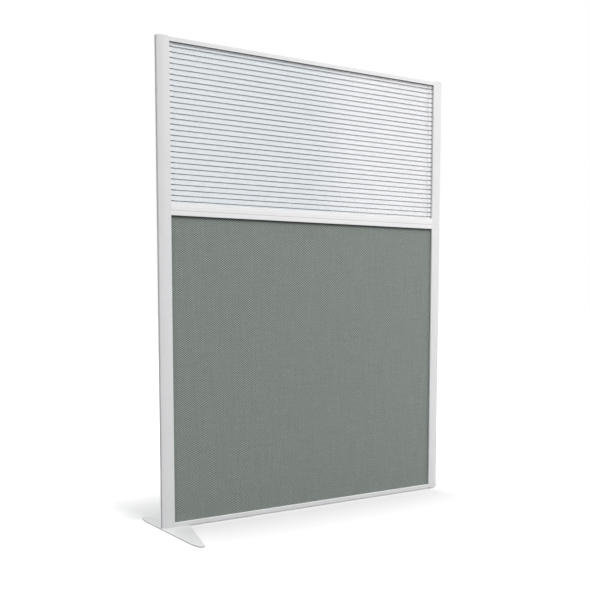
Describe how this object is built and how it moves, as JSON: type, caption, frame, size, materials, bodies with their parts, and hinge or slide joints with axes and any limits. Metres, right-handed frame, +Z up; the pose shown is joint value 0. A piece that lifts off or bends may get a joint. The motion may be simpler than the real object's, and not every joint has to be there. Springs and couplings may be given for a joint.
{
  "type": "free-standing office divider screen",
  "caption": "Free-standing office divider screen: fabric acoustic panel below a ribbed translucent window, slim metal frame, flat foot plate at one end and a levelling glide at the other.",
  "frame": {"origin": "on the floor, on the mid-plane of the frame, under the centre line of the post that carries the foot plate", "axes": "+X along the screen from the foot plate's post to the far post, -Y to the front, where the foot plate reaches furthest, +Z up"},
  "size_m": [1.366, 0.5023, 1.8],
  "materials": {
    "frame_paint": "satin",
    "cap_plastic": "matte",
    "cast_aluminium": "matte",
    "zinc_steel": "satin",
    "clear_sheet": "gloss",
    "gasket_rubber": "matte",
    "board": "matte",
    "foam": "matte",
    "grey_cloth": "woven",
    "packer_plastic": "matte"
  },
  "bodies": {
    "screen": {"left_post": "frame_paint", "right_post": "frame_paint", "top_rail": "frame_paint", "mid_rail": "frame_paint", "bottom_rail": "frame_paint", "left_post_cap": "cap_plastic", "right_post_cap": "cap_plastic", "left_base_block": "cast_aluminium", "right_base_block": "cast_aluminium", "left_head_block": "cast_aluminium", "right_head_block": "cast_aluminium", "mid_rail_screws": "zinc_steel", "block_screws": "zinc_steel", "corner_screws": "zinc_steel", "window_sheet": "clear_sheet", "gasket_front": "gasket_rubber", "gasket_back": "gasket_rubber", "sheet_packers": "packer_plastic", "core_board": "board", "foam_front": "foam", "foam_back": "foam", "fabric_front": "grey_cloth", "fabric_back": "grey_cloth", "panel_packers": "packer_plastic", "foot_plate": "frame_paint", "foot_screws": "zinc_steel", "glide_insert": "zinc_steel"},
    "levelling_pad": {"glide_pad": "packer_plastic"},
    "levelling_stem": {"glide_stem": "zinc_steel"}
  },
  "joints": [
    {"name": "glide_lift", "type": "slide", "parent": "screen", "child": "levelling_pad", "axis": [0, 0, -1], "range_m": [0, 0.012]},
    {"name": "glide_turn", "type": "hinge", "parent": "levelling_pad", "child": "levelling_stem", "pos_m": [1.3135, 0, 0.003], "axis": [0, 0, -1], "range_deg": [0, 3457]}
  ],
  "couplings": [
    {"joint": "glide_turn", "follows": "glide_lift", "rad_per_m": 5026.5}
  ]
}
